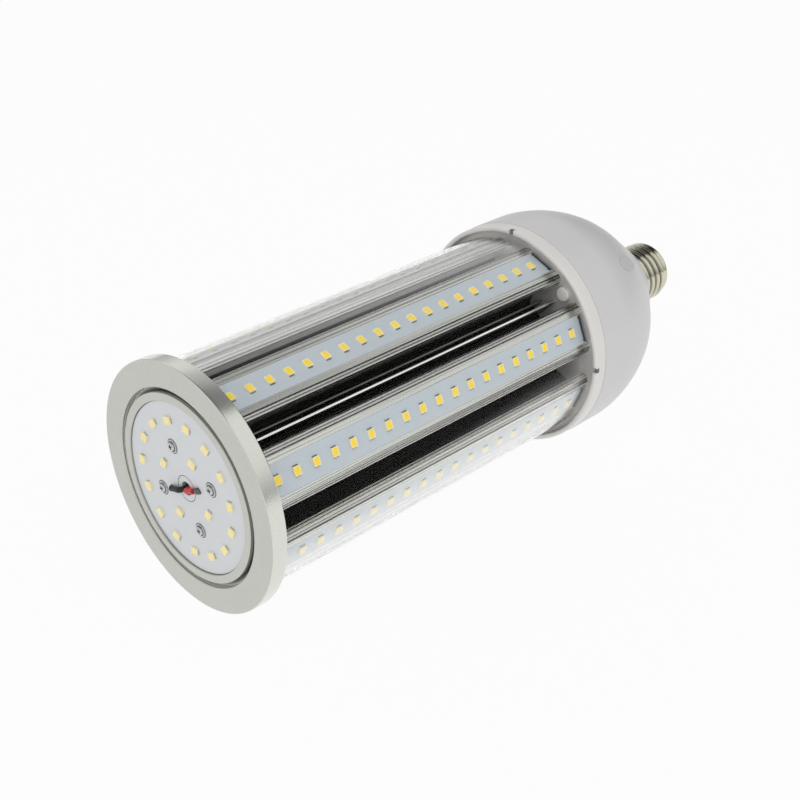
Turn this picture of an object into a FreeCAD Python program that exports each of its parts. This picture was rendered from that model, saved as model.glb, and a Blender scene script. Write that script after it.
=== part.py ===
"""Corn-style lamp: finned heat sink with strips of light chips in a clear tube, a driver dome and a screw cap.

The lamp lies along X. The origin is on its axis, where the screw cap leaves the neck of the driver dome:
the cap points to +X, the flat light-giving end to -X. Angles are about +X, from +Y towards +Z.
"""
import FreeCAD, Part

import math
import os

Vector = FreeCAD.Vector
ORIGIN = Vector(0, 0, 0)
LAMP_AXIS = Vector(1, 0, 0)

# Places along the lamp
end_front_x = -241.0
end_rear_x = -235.0
collar_front_x = -76.6
collar_floor_x = -73.5
seam_x = -70.4

# Strips of light chips round the heat sink
strip_count = 8
strip_pitch_deg = 360.0 / strip_count
strip_phase_deg = 21.7
strip_board_rear_x = -75.0
strip_board_width = 11.4
strip_board_thickness = 1.2
chips_per_strip = 19
chip_pitch = 8.254
first_chip_x = -230.5
chip_length = 3.5
chip_width = 2.8
chip_height = 0.8

# Section of the heat sink: heights are from the lamp's axis
channel_height = 38.8
channel_half = 5.75
rail_height = 40.0
rail_half = 8.5
rail_step = 0.4
seat_half = 10.1
seat_edge_height = 38.8
seat_wall_height = 36.2
seat_foot_half = 9.4
seat_foot_height = 35.5
stem_half = 1.8
stem_top_height = 34.3
hub_radius = 19.0
hub_hollow_radius = 15.5
side_fin_inner = 2.8
side_fin_outer = 3.8
side_fin_tip = 24.8
groove_fin_half = 0.6
groove_fin_tip = 31.0

# End cap and its round board
ring_radius = 46.5
ring_edge = 1.2
groove_outer_radius = 36.7
groove_inner_radius = 35.0
groove_depth = 2.6
board_recess_radius = 31.9
board_recess_depth = 2.4
end_board_radius = 31.7
end_board_thickness = 1.6
lead_hole_radius = 2.6
lead_way_radius = 3.0
outer_chip_count = 15
outer_chip_radius = 24.9
outer_chip_phase_deg = 49.7
inner_chip_count = 4
inner_chip_radius = 12.9
inner_chip_phase_deg = 22.5

# Clear tube
tube_radius = 42.6
tube_wall = 1.2

# Collar between the tube and the driver dome
rim_inner_radius = 44.4
rim_radius = 46.5
wire_way_radius = 9.0
notch_count = 4
notch_width = 2.0
notch_depth = 2.2

# Driver dome: a short cylinder, a round shoulder and a cone
dome_radius = 46.7
shoulder_x = -56.0
shoulder_steps = 3
cone_slope = 0.75
neck_step_x = -3.2
neck_lip_radius = 16.4
neck_bore_radius = 12.0
hollow_mouth_radius = 43.2
hollow_shoulder_x = -48.0
hollow_middle_x = -28.0
hollow_middle_radius = 33.6
hollow_end_x = -6.0
hollow_end_radius = 16.8

# Screw cap
shell_radius = 13.1
shell_hollow_radius = 12.4
shell_shoulder_x = 18.6
shell_end_x = 20.8
shell_end_radius = 9.9
shell_hole_radius = 8.6
shell_end_wall = 2.6
insulator_radius = 7.4
insulator_tip_x = 23.6
contact_radius = 4.9
contact_tip_x = 25.4

# Leads
lead_radius = 1.0
lead_spread = 1.2
black_pad_radius = 8.6
red_pad_radius = 7.8
black_lead_angle_deg = 338.0
red_lead_angle_deg = 162.0
supply_lead_radius = 0.8
neutral_lead_y = 9.8

# Driver inside the dome
driver_front_x = seam_x
driver_rear_x = -30.0
driver_half_width = 28.0
driver_thickness = 1.6
driver_top_z = -3.0
output_block = ((-65.0, -59.0), (-4.5, 4.5), (driver_top_z, 3.0))
supply_block = ((-38.0, -32.0), (-3.0, 11.5), (driver_top_z, 2.5))
transformer_block = ((-57.0, -41.0), (-8.0, 8.0), (driver_top_z, 11.0))
choke_block = ((-52.0, -42.0), (13.0, 24.0), (driver_top_z, 8.0))
rectifier_block = ((-40.0, -36.0), (14.0, 23.0), (driver_top_z, 3.0))
transistor_block = ((-64.0, -60.0), (12.0, 22.0), (driver_top_z, 11.0))
input_capacitor_block = ((-46.0, -38.0), (-25.0, -11.0), (driver_top_z, 11.0))
output_capacitor_place = (-60.0, -17.0)
output_capacitor_radius = 5.0
output_capacitor_height = 16.0


def place(radius, angle_deg, x):
    """Point at a distance from the lamp's axis."""
    angle = math.radians(angle_deg)
    return Vector(x, radius * math.cos(angle), radius * math.sin(angle))


def turned(shape, angle_deg):
    """Copy of a shape turned about the lamp's axis."""
    return shape.rotated(ORIGIN, LAMP_AXIS, angle_deg)


def around(shape, count, phase_deg):
    """Copies of a shape, evenly spaced about the lamp's axis."""
    return [turned(shape, phase_deg + index * 360.0 / count) for index in range(count)]


def revolved(corners):
    """Solid turned about the lamp's axis from (x, radius) corners."""
    points = [Vector(x, radius, 0) for x, radius in corners]
    return Part.Face(closed_wire(points)).revolve(ORIGIN, LAMP_AXIS, 360)


def block(x_span, y_span, z_span):
    """Box between three pairs of limits."""
    sizes = [high - low for low, high in (x_span, y_span, z_span)]
    return Part.makeBox(*sizes, Vector(x_span[0], y_span[0], z_span[0]))


def closed_wire(points):
    """Closed outline through points."""
    return Part.makePolygon(points + points[:1])


def eight_corners(x, radius):
    """Corners of an eight-sided outline across the lamp, in line with the strips."""
    return [place(radius, strip_phase_deg + index * strip_pitch_deg, x) for index in range(strip_count)]


def eight_sided(stations):
    """Eight-sided solid with flat sides through (x, radius) stations along the lamp."""
    rings = [eight_corners(x, radius) for x, radius in stations]
    faces = [Part.Face(closed_wire(ring)) for ring in (rings[0], rings[-1])]
    for ring, following in zip(rings, rings[1:]):
        for index in range(strip_count):
            side = [ring[index - 1], ring[index], following[index], following[index - 1]]
            faces.append(Part.Face(closed_wire(side)))
    return Part.makeSolid(Part.makeShell(faces))


def lead_along(points, radius):
    """Wire of round section along straight runs."""
    section = Part.Wire(Part.makeCircle(radius, points[0], points[1] - points[0]))
    sharp_corners = 1
    return Part.makePolygon(points).makePipeShell([section], True, False, sharp_corners)


def half_sector():
    """Outline of the heat sink from a strip's middle to the next groove's middle, as (sideways, outward)."""
    strip_side = [
        (channel_half, channel_height),
        (channel_half, rail_height),
        (rail_half, rail_height),
        (rail_half, rail_height - rail_step),
        (seat_half, seat_edge_height),
        (seat_half, seat_wall_height),
        (seat_foot_half, seat_foot_height),
        (stem_half, stem_top_height),
        (stem_half, math.sqrt(hub_radius ** 2 - stem_half ** 2)),
    ]
    groove_side = [
        (side_fin_outer, math.sqrt(hub_radius ** 2 - side_fin_outer ** 2)),
        (side_fin_outer, side_fin_tip),
        (side_fin_inner, side_fin_tip),
        (side_fin_inner, math.sqrt(hub_radius ** 2 - side_fin_inner ** 2)),
        (groove_fin_half, math.sqrt(hub_radius ** 2 - groove_fin_half ** 2)),
        (groove_fin_half, groove_fin_tip),
    ]
    turn = math.radians(strip_pitch_deg / 2)
    for side, out in groove_side:
        strip_side.append((
            out * math.sin(turn) - side * math.cos(turn),
            out * math.cos(turn) + side * math.sin(turn),
        ))
    return strip_side


def heat_sink():
    """Aluminium extrusion: eight strip seats on stems, fins in the grooves between them, and a hollow hub."""
    half = half_sector()
    sector = [(-side, out) for side, out in reversed(half)] + half
    points = []
    for index in range(strip_count):
        angle = math.radians(strip_phase_deg + index * strip_pitch_deg)
        for side, out in sector:
            y = out * math.cos(angle) - side * math.sin(angle)
            z = out * math.sin(angle) + side * math.cos(angle)
            points.append(Vector(end_rear_x, y, z))
    hollow = eight_corners(end_rear_x, hub_hollow_radius)
    section = Part.Face([closed_wire(points), closed_wire(hollow)])
    return section.extrude(Vector(collar_floor_x - end_rear_x, 0, 0))


def strip_board():
    """Flat board of one strip, on the +Y side."""
    half = strip_board_width / 2
    return block(
        (end_rear_x, strip_board_rear_x),
        (channel_height, channel_height + strip_board_thickness),
        (-half, half),
    )


def strip_chips():
    """Row of light chips of one strip, on the +Y side."""
    top = channel_height + strip_board_thickness
    chips = []
    for index in range(chips_per_strip):
        x = first_chip_x + index * chip_pitch
        chips.append(block(
            (x - chip_width / 2, x + chip_width / 2),
            (top, top + chip_height),
            (-chip_length / 2, chip_length / 2),
        ))
    return Part.makeCompound(chips)


def end_cap():
    """Aluminium end cap: flat ring with a bevelled edge, groove, land, and the recess of the round board."""
    floor_x = end_front_x + board_recess_depth
    groove_x = end_front_x + groove_depth
    cap = revolved([
        (floor_x, 0),
        (floor_x, board_recess_radius),
        (end_front_x, board_recess_radius),
        (end_front_x, groove_inner_radius),
        (groove_x, groove_inner_radius),
        (groove_x, groove_outer_radius),
        (end_front_x, groove_outer_radius),
        (end_front_x, ring_radius - ring_edge),
        (end_front_x + ring_edge, ring_radius),
        (end_rear_x, ring_radius),
        (end_rear_x, 0),
    ])
    return cap.cut(eight_sided([(floor_x, lead_way_radius), (end_rear_x, lead_way_radius)]))


def end_board_top_x():
    """Front face of the round board."""
    return end_front_x + board_recess_depth - end_board_thickness


def end_board():
    """Round board with its lead hole."""
    front = end_board_top_x()
    rear = front + end_board_thickness
    return revolved([
        (front, lead_hole_radius),
        (front, end_board_radius),
        (rear, end_board_radius),
        (rear, lead_hole_radius),
    ])


def end_chips():
    """Light chips of the round board: an outer ring and an inner four, each lying along its own ring."""
    top = end_board_top_x()
    chip = block(
        (top - chip_height, top),
        (-chip_width / 2, chip_width / 2),
        (-chip_length / 2, chip_length / 2),
    )
    outer = chip.translated(Vector(0, outer_chip_radius, 0))
    inner = chip.translated(Vector(0, inner_chip_radius, 0))
    chips = around(outer, outer_chip_count, outer_chip_phase_deg)
    return Part.makeCompound(chips + around(inner, inner_chip_count, inner_chip_phase_deg))


def clear_tube():
    """Clear tube over the strips, held between the end cap and the collar's floor."""
    return revolved([
        (end_rear_x, tube_radius - tube_wall),
        (end_rear_x, tube_radius),
        (collar_floor_x, tube_radius),
        (collar_floor_x, tube_radius - tube_wall),
    ])


def collar():
    """Moulded collar: rim round the tube, with notches, and a floor that carries the heat sink."""
    body = revolved([
        (collar_floor_x, 0),
        (collar_floor_x, rim_inner_radius),
        (collar_front_x, rim_inner_radius),
        (collar_front_x, rim_radius),
        (seam_x, rim_radius),
        (seam_x, 0),
    ])
    notch = block(
        (collar_front_x, collar_front_x + notch_depth),
        (tube_radius, ring_radius + tube_wall),
        (-notch_width / 2, notch_width / 2),
    )
    notches = around(notch, notch_count, strip_phase_deg + strip_pitch_deg * 3 / 2)
    wire_way = eight_sided([(collar_floor_x, wire_way_radius), (seam_x, wire_way_radius)])
    return body.cut(Part.makeCompound(notches + [wire_way]))


def dome_outline():
    """Corners of the dome's outside, from the seam over the shoulder to the foot of its cone."""
    shoulder_turn = math.atan(cone_slope)
    corners = [(seam_x, dome_radius)]
    for step in range(shoulder_steps + 1):
        angle = shoulder_turn * step / shoulder_steps
        corners.append((shoulder_x + dome_radius * math.sin(angle), dome_radius * math.cos(angle)))
    cone_x, cone_radius = corners[-1]
    corners.append((neck_step_x, cone_radius - cone_slope * (neck_step_x - cone_x)))
    return corners


def driver_housing():
    """Hollow dome over the driver, with a lip round its neck."""
    neck = [
        (neck_step_x, neck_lip_radius),
        (0, neck_lip_radius),
        (0, 0),
        (seam_x, 0),
    ]
    dome = revolved(dome_outline() + neck)
    hollow = eight_sided([
        (seam_x, hollow_mouth_radius),
        (hollow_shoulder_x, hollow_mouth_radius),
        (hollow_middle_x, hollow_middle_radius),
        (hollow_end_x, hollow_end_radius),
    ])
    bore = eight_sided([(hollow_end_x, neck_bore_radius), (0, neck_bore_radius)])
    return dome.cut(Part.makeCompound([hollow, bore]))


def screw_shell():
    """Metal shell of the screw cap, at the outer size of its thread."""
    shell = revolved([
        (0, 0),
        (0, shell_radius),
        (shell_shoulder_x, shell_radius),
        (shell_end_x, shell_end_radius),
        (shell_end_x, 0),
    ])
    wall_x = shell_end_x - shell_end_wall
    hollow = eight_sided([(0, shell_hollow_radius), (wall_x, shell_hollow_radius)])
    hole = eight_sided([(wall_x, shell_hole_radius), (shell_end_x, shell_hole_radius)])
    return shell.cut(Part.makeCompound([hollow, hole]))


def cap_insulator():
    """Insulating plug in the end of the shell, round the live lead."""
    wall_x = shell_end_x - shell_end_wall
    foot = eight_sided([(wall_x, shell_hole_radius), (shell_end_x, shell_hole_radius)])
    disc = Part.makeCylinder(insulator_radius, insulator_tip_x - shell_end_x, Vector(shell_end_x, 0, 0), LAMP_AXIS)
    lead_hole = Part.makeCylinder(supply_lead_radius, insulator_tip_x - wall_x, Vector(wall_x, 0, 0), LAMP_AXIS)
    return foot.fuse(disc).cut(lead_hole)


def cap_contact():
    """Centre contact at the tip of the cap."""
    return revolved([
        (insulator_tip_x, 0),
        (insulator_tip_x, contact_radius),
        (contact_tip_x, contact_radius),
        (contact_tip_x, 0),
    ])


def end_lead(pad_radius, angle_deg):
    """Lead from the driver through the hollow hub, turned over the round board to its pad."""
    turn_x = end_board_top_x() - lead_radius
    output_x = output_block[0][0]
    lead = lead_along(
        [Vector(output_x, lead_spread, 0), Vector(turn_x, lead_spread, 0), Vector(turn_x, pad_radius, 0)],
        lead_radius,
    )
    return turned(lead, angle_deg)


def live_lead():
    """Lead from the driver to the centre contact."""
    start = Vector(supply_block[0][1], 0, 0)
    return Part.makeCylinder(supply_lead_radius, insulator_tip_x - start.x, start, LAMP_AXIS)


def neutral_lead():
    """Lead from the driver to the inside of the shell's end wall."""
    start = Vector(supply_block[0][1], neutral_lead_y, 0)
    wall_x = shell_end_x - shell_end_wall
    return Part.makeCylinder(supply_lead_radius, wall_x - start.x, start, LAMP_AXIS)


def driver_board():
    """Flat board that carries the driver."""
    return block(
        (driver_front_x, driver_rear_x),
        (-driver_half_width, driver_half_width),
        (driver_top_z - driver_thickness, driver_top_z),
    )


def output_capacitor():
    """Round capacitor standing on the driver board."""
    foot = Vector(*output_capacitor_place, driver_top_z)
    return Part.makeCylinder(output_capacitor_radius, output_capacitor_height, foot)


def build():
    """Every node of the lamp, by name."""
    nodes = {
        "end_cap": end_cap(),
        "end_board": end_board(),
        "end_chips": end_chips(),
        "black_lead": end_lead(black_pad_radius, black_lead_angle_deg),
        "red_lead": end_lead(red_pad_radius, red_lead_angle_deg),
        "clear_tube": clear_tube(),
        "heat_sink": heat_sink(),
        "collar": collar(),
        "driver_housing": driver_housing(),
        "driver_board": driver_board(),
        "output_block": block(*output_block),
        "supply_block": block(*supply_block),
        "transformer": block(*transformer_block),
        "choke": block(*choke_block),
        "rectifier": block(*rectifier_block),
        "power_transistor": block(*transistor_block),
        "input_capacitor": block(*input_capacitor_block),
        "output_capacitor": output_capacitor(),
        "live_lead": live_lead(),
        "neutral_lead": neutral_lead(),
        "screw_shell": screw_shell(),
        "cap_insulator": cap_insulator(),
        "cap_contact": cap_contact(),
    }
    for index in range(strip_count):
        angle = strip_phase_deg + index * strip_pitch_deg
        nodes["strip_board_%d" % (index + 1)] = turned(strip_board(), angle)
        nodes["strip_chips_%d" % (index + 1)] = turned(strip_chips(), angle)
    return nodes


os.makedirs("parts", exist_ok=True)
for node, shape in build().items():
    shape.exportStep("parts/%s.step" % node)
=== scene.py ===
"""Visible pieces and finishes of a corn lamp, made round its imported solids.

The lamp lies along X with its screw cap towards +X. Sizes are in metres, angles are about +X from
+Y towards +Z.
"""
import math

import bmesh
import bpy
from mathutils import Matrix, Vector, noise


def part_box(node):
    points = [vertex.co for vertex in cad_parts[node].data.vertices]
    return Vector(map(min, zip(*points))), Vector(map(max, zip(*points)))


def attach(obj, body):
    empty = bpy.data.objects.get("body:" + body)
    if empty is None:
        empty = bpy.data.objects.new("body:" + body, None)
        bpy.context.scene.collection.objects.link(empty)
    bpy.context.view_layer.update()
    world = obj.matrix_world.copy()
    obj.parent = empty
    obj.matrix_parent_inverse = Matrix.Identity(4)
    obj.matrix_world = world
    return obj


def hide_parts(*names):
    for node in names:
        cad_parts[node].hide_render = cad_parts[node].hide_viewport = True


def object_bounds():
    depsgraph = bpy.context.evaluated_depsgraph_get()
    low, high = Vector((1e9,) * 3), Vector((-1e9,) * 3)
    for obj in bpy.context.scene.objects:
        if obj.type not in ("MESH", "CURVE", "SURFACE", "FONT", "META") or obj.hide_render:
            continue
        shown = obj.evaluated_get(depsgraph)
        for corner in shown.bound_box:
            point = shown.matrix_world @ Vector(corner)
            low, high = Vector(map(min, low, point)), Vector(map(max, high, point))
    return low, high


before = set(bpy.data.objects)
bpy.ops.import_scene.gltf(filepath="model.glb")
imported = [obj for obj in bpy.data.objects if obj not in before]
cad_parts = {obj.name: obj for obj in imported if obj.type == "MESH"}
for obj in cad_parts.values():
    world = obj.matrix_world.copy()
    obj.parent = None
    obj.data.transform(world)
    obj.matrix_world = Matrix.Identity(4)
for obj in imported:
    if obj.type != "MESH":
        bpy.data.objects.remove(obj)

bl_info = {
    "name": "Corn lamp",
    "version": (1, 0, 0),
    "blender": (4, 5, 0),
    "location": "View3D > Sidebar > Corn lamp",
    "description": "Builds the visible pieces, finishes and stage of a corn lamp",
    "category": "Object",
}

BODY = "root"
PACKED_BOX = [list(corner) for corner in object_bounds()]
MERGE_DISTANCE = 1e-6
SAME_PLACE = 1e-5
SMOOTH_ANGLE = math.radians(35)
FULL_TURN = 2 * math.pi
FINE_BUMP = 0.0001
BLACK_LEAD_TURN = math.radians(338)
RED_LEAD_TURN = math.radians(162)
SHELL_CURL = 0.0032
NOTCH_COUNT = 4
CAMERA_PLACE = (-0.446414, -0.311640, 0.242256)
CAMERA_TURN = (math.radians(60.455), 0, math.radians(-44.62))
LAMP_MIDDLE = Vector((-0.11, 0, 0))


def near_face(node):
    """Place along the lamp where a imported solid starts."""
    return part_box(node)[0].x


def far_face(node):
    """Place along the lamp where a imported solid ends."""
    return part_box(node)[1].x


def outer_radius(node):
    """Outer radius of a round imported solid."""
    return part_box(node)[1].y


def length(name, description, default):
    """Property for a size in metres."""
    return bpy.props.FloatProperty(
        name=name, description=description, default=default, unit="LENGTH", precision=5
    )


def turn(name, description, degrees):
    """Property for an angle."""
    return bpy.props.FloatProperty(
        name=name, description=description, default=math.radians(degrees),
        subtype="ANGLE", unit="ROTATION",
    )


def count(name, description, default):
    """Property for a number of equal parts."""
    return bpy.props.IntProperty(name=name, description=description, default=default)


def tint(name, description, default):
    """Property for a finish's colour."""
    return bpy.props.FloatVectorProperty(
        name=name, description=description, default=default, size=3, subtype="COLOR", min=0, max=1
    )


class LampSizes(bpy.types.PropertyGroup):
    """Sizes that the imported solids' boxes don't give."""

    strip_count: count("Strips", "Strips round the heat sink", 8)
    strip_phase: turn("First strip", "Angle of the first strip", 21.7)
    board_face: length("Strip face", "Height of a strip's face above the axis", 0.0400)
    strip_half: length("Strip half width", "Half the width of a strip board", 0.0057)
    chips_per_strip: count("Chips", "Light chips on a strip", 19)
    chip_pitch: length("Chip pitch", "Distance between the chips of a strip", 0.008254)
    chip_long: length("Chip length", "Longer side of a light chip", 0.0035)
    chip_short: length("Chip width", "Shorter side of a light chip", 0.0028)
    chip_tall: length("Chip height", "Height of a light chip", 0.0008)
    ring_count: count("Outer chips", "Chips in the outer ring", 15)
    ring_place: length("Outer chip ring", "Radius of the outer ring of chips", 0.0249)
    ring_phase: turn("Outer chip angle", "Angle of the first outer chip", 49.7)
    inner_count: count("Inner chips", "Chips near the board's middle", 4)
    inner_place: length("Inner chip ring", "Radius of the inner chips", 0.0129)
    inner_phase: turn("Inner chip angle", "Angle of the first inner chip", 22.5)
    recess_radius: length("Board recess", "Radius of the round board's recess", 0.0319)
    land_radius: length("Land", "Outer radius of the land", 0.0350)
    groove_radius: length("Groove", "Outer radius of the groove", 0.0367)
    groove_depth: length("Groove depth", "Depth of the groove", 0.0026)
    ring_round: length("Ring rounding", "Rounding of the outer edge", 0.0004)
    screw_count: count("Board screws", "Screws in the round board", 4)
    screw_place: length("Screw circle", "Radius of the circle of board screws", 0.0154)
    screw_phase: turn("Screw angle", "Angle of the first board screw", 66.7)
    screw_head: length("Screw head", "Radius of a screw's head", 0.0017)
    washer_radius: length("Washer", "Radius of a screw's washer", 0.0024)
    lead_radius: length("Lead", "Radius of a lead's sleeve", 0.0010)
    tube_wall: length("Tube wall", "Thickness of the clear tube", 0.0012)
    rim_bore: length("Rim bore", "Inner radius of the collar's rim", 0.0444)
    floor_place: length("Collar floor", "Place of the collar's floor", -0.0735)
    notch_depth: length("Notch depth", "Depth of the rim's notches", 0.0022)
    peg_radius: length("Peg", "Radius of the pegs", 0.0029)
    peg_place: length("Peg circle", "Radius of the circle of pegs", 0.0370)
    peg_height: length("Peg height", "Height of the pegs above the floor", 0.0015)
    shoulder_place: length("Dome shoulder", "Place where the dome starts to curve", -0.0560)
    cone_slope: bpy.props.FloatProperty(
        name="Cone slope", description="Fall of the cone's radius per length", default=0.75
    )
    neck_step: length("Neck step", "Place where the cone ends", -0.0032)
    lip_radius: length("Neck lip", "Radius of the lip round the neck", 0.0164)
    neck_bore: length("Neck bore", "Radius of the hole in the neck", 0.0120)
    dome_wall: length("Dome wall", "Thickness of the dome", 0.0025)
    thread_pitch: length("Thread pitch", "Pitch of the cap's thread", 0.003629)
    thread_depth: length("Thread depth", "Height of the thread's wave", 0.00115)
    shell_end: length("Shell end", "Radius of the rolled-in end", 0.0099)


class LampColours(bpy.types.PropertyGroup):
    """Colours of the lamp's finishes."""

    satin: tint("Satin aluminium", "End cap", (0.57, 0.58, 0.535))
    extruded: tint("Extruded aluminium", "Heat sink", (0.76, 0.76, 0.71))
    board: tint("Strip mask", "Solder mask of the strip boards", (0.56, 0.62, 0.66))
    round_board: tint("Round mask", "Solder mask of the round board", (0.66, 0.68, 0.70))
    chip_frame: tint("Chip frame", "Body of a light chip", (0.92, 0.86, 0.62))
    phosphor: tint("Phosphor", "Window of a strip's light chip", (0.92, 0.66, 0.045))
    # Paler phosphor of the same chips, a painted sheen on the round board's chips
    phosphor_with_painted_sheen: tint("Pale phosphor", "Window of a round board's light chip", (0.96, 0.78, 0.28))
    plastic: tint("Housing plastic", "Dome", (0.655, 0.643, 0.647))
    collar: tint("Collar plastic", "Collar", (0.76, 0.74, 0.715))
    nickel: tint("Plating", "Shell of the screw cap", (0.64, 0.615, 0.49))
    steel: tint("Screw steel", "Screws and washers", (0.56, 0.57, 0.57))
    solder: tint("Solder", "Soldered joints", (0.17, 0.175, 0.17))
    pad: tint("Chip pads", "Soldered pads of the light chips", (0.22, 0.22, 0.205))
    # Near-black wire colour, which also paints the shadow of the gap at the strips' ends
    lacquer: tint("Wire lacquer", "Wires across the strips' ends", (0.035, 0.035, 0.075))
    black_sleeve: tint("Black sleeve", "Black lead", (0.012, 0.012, 0.013))
    red_sleeve: tint("Red sleeve", "Red lead", (0.62, 0.045, 0.05))


def sizes():
    """The scene's sizes of the lamp."""
    return bpy.context.scene.corn_sizes


def colours():
    """The scene's colours of the lamp."""
    return bpy.context.scene.corn_colours


# Building helpers

def shift(bm, offset, verts=None):
    """Moves a bmesh, or some of its vertices."""
    bmesh.ops.translate(bm, vec=offset, verts=verts or bm.verts)


def swing(bm, angle, axis="X", verts=None):
    """Turns a bmesh, or some of its vertices, about an axis through the origin."""
    spin = Matrix.Rotation(angle, 3, axis)
    bmesh.ops.rotate(bm, cent=(0, 0, 0), matrix=spin, verts=verts or bm.verts)


def verts_of(geom):
    """Vertices among the elements that a bmesh operator made."""
    return [item for item in geom if isinstance(item, bmesh.types.BMVert)]


def face_out(bm):
    """Turns all faces of a bmesh outwards."""
    bmesh.ops.recalc_face_normals(bm, faces=bm.faces)


def show(thing):
    """Puts an object into the scene."""
    bpy.context.scene.collection.objects.link(thing)


def lathe(profile, steps=160, closed=True):
    """Skin turned about the lamp's axis from (x, radius) corners."""
    bm = bmesh.new()
    corners = [bm.verts.new((x, radius, 0)) for x, radius in profile]
    onward = corners[1:] + corners[:1] if closed else corners[1:]
    edges = [bm.edges.new(pair) for pair in zip(corners, onward)]
    bmesh.ops.spin(
        bm, geom=corners + edges, cent=(0, 0, 0), axis=(1, 0, 0), dvec=(0, 0, 0),
        angle=FULL_TURN, steps=steps, use_merge=True,
    )
    bmesh.ops.remove_doubles(bm, verts=bm.verts, dist=MERGE_DISTANCE)
    face_out(bm)
    return bm


def round_edges(bm, edges, amount, segments):
    """Rounds edges of a bmesh."""
    bmesh.ops.bevel(
        bm, geom=edges, offset=amount, offset_type="OFFSET", segments=segments, profile=0.5,
        affect="EDGES", material=-1,
    )


def soften(bm, x, radius, amount, segments=3):
    """Rounds the ring-shaped edge at a place along the lamp."""
    def on_ring(vert):
        reach = math.hypot(vert.co.y, vert.co.z)
        return abs(vert.co.x - x) < SAME_PLACE and abs(reach - radius) < SAME_PLACE

    ring = [edge for edge in bm.edges if all(on_ring(vert) for vert in edge.verts)]
    round_edges(bm, ring, amount, segments)


def copies(bm, number, place_copy):
    """Repeats everything in a bmesh. A function of its index places each copy's vertices."""
    first = bm.verts[:] + bm.edges[:] + bm.faces[:]
    for index in range(1, number):
        place_copy(index, verts_of(bmesh.ops.duplicate(bm, geom=first)["geom"]))


def copies_around(bm, number, phase):
    """Repeats everything in a bmesh about the lamp's axis."""
    copies(bm, number, lambda index, verts: swing(bm, index * FULL_TURN / number, verts=verts))
    swing(bm, phase)


def copies_along(bm, number, pitch):
    """Repeats everything in a bmesh along the lamp."""
    copies(bm, number, lambda index, verts: shift(bm, (index * pitch, 0, 0), verts))


def add_piece(name, bm, materials, replaced=()):
    """Turns a bmesh into a piece of the lamp."""
    mesh = bpy.data.meshes.new(name)
    bm.to_mesh(mesh)
    bm.free()
    for material in materials:
        mesh.materials.append(material)
    mesh.shade_smooth()
    mesh.set_sharp_from_angle(angle=SMOOTH_ANGLE)
    piece = bpy.data.objects.new(name, mesh)
    show(piece)
    even = piece.modifiers.new("even_shading", "WEIGHTED_NORMAL")
    even.keep_sharp = True
    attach(piece, BODY)
    if replaced:
        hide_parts(*replaced)


def dress(node, material):
    """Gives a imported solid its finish."""
    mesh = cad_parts[node].data
    mesh.materials.clear()
    mesh.materials.append(material)


# Shader helpers

def shade_of(colour, factor):
    """Colour made darker or lighter, with alpha."""
    return (*[min(1.0, channel * factor) for channel in colour[:3]], 1.0)


def grey(level):
    """Neutral colour with alpha."""
    return (level, level, level, 1.0)


class Nodes:
    """Short ways to add nodes to a shader tree."""

    def __init__(self, tree):
        self.tree = tree

    def put(self, socket, value):
        """Sets a socket's value, or links another socket to it."""
        if isinstance(value, bpy.types.NodeSocket):
            self.tree.links.new(value, socket)
        else:
            socket.default_value = value

    def add(self, kind, inputs=None, **settings):
        """Node with its settings, and with its inputs set or linked."""
        made = self.tree.nodes.new("ShaderNode" + kind)
        for key, value in settings.items():
            setattr(made, key, value)
        for key, value in (inputs or {}).items():
            self.put(made.inputs[key], value)
        return made

    def calc(self, operation, first, second=0.0):
        """Result of a math node."""
        return self.add("Math", {0: first, 1: second}, operation=operation).outputs[0]

    def times(self, first, second):
        """Product of two values."""
        return self.calc("MULTIPLY", first, second)

    def minus(self, first, second):
        """Difference of two values."""
        return self.calc("SUBTRACT", first, second)

    def larger(self, first, second):
        """Larger of two values."""
        return self.calc("MAXIMUM", first, second)

    def spread(self, value, low, high):
        """Value between 0 and 1 spread over a range."""
        inputs = {"Value": value, "To Min": low, "To Max": high}
        return self.add("MapRange", inputs).outputs["Result"]

    def ease(self, value, start, stop):
        """0 before a range of values, 1 after it, and smooth between."""
        inputs = {"Value": value, "From Min": start, "From Max": stop}
        return self.add("MapRange", inputs, interpolation_type="SMOOTHSTEP").outputs["Result"]

    def line(self, value, middle, half_width):
        """1 on a thin line where a value has its middle, and 0 beside it."""
        off = self.calc("ABSOLUTE", self.minus(value, middle))
        return self.minus(1.0, self.ease(off, half_width, 2 * half_width))

    def blend(self, share, first, second):
        """Mix of two colours."""
        made = self.add("Mix", data_type="RGBA")
        sockets = (made.inputs["Factor"], *made.inputs[6:8])
        for socket, value in zip(sockets, (share, first, second)):
            self.put(socket, value)
        return made.outputs[2]

    def noise(self, place, scale, detail, roughness=0.5):
        """Value of a noise texture."""
        return self.add("TexNoise", {
            "Vector": place, "Scale": scale, "Detail": detail, "Roughness": roughness,
        }).outputs[0]

    def axes(self, vector):
        """Parts of a vector along X, Y and Z."""
        return self.add("SeparateXYZ", {0: vector}).outputs

    def cast(self, share, first, second, output):
        """Sends a mix of two shaders to the tree's output."""
        mixed = self.add("MixShader", {0: share, 1: first.outputs[0], 2: second.outputs[0]})
        self.tree.links.new(mixed.outputs[0], self.tree.nodes[output].inputs["Surface"])


def fine_grain(nodes, place, fineness):
    """Fine surface grain: a height for bump and a slow mottle for colour and gloss."""
    mottle = nodes.noise(place, nodes.times(fineness, 0.05), 2.0)
    return nodes.noise(place, fineness, 3.0, 0.6), mottle


def drawn_lines(nodes, place, fineness):
    """Lines and broader bands drawn along the lamp, as an extrusion die leaves them."""
    stretch = (0.004, 1.0, 1.0)
    drawn = nodes.add("VectorMath", {0: place, 1: stretch}, operation="MULTIPLY").outputs[0]
    bands = nodes.noise(drawn, nodes.times(fineness, 0.22), 1.0)
    return nodes.noise(drawn, fineness, 2.0, 0.7), bands


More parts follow.
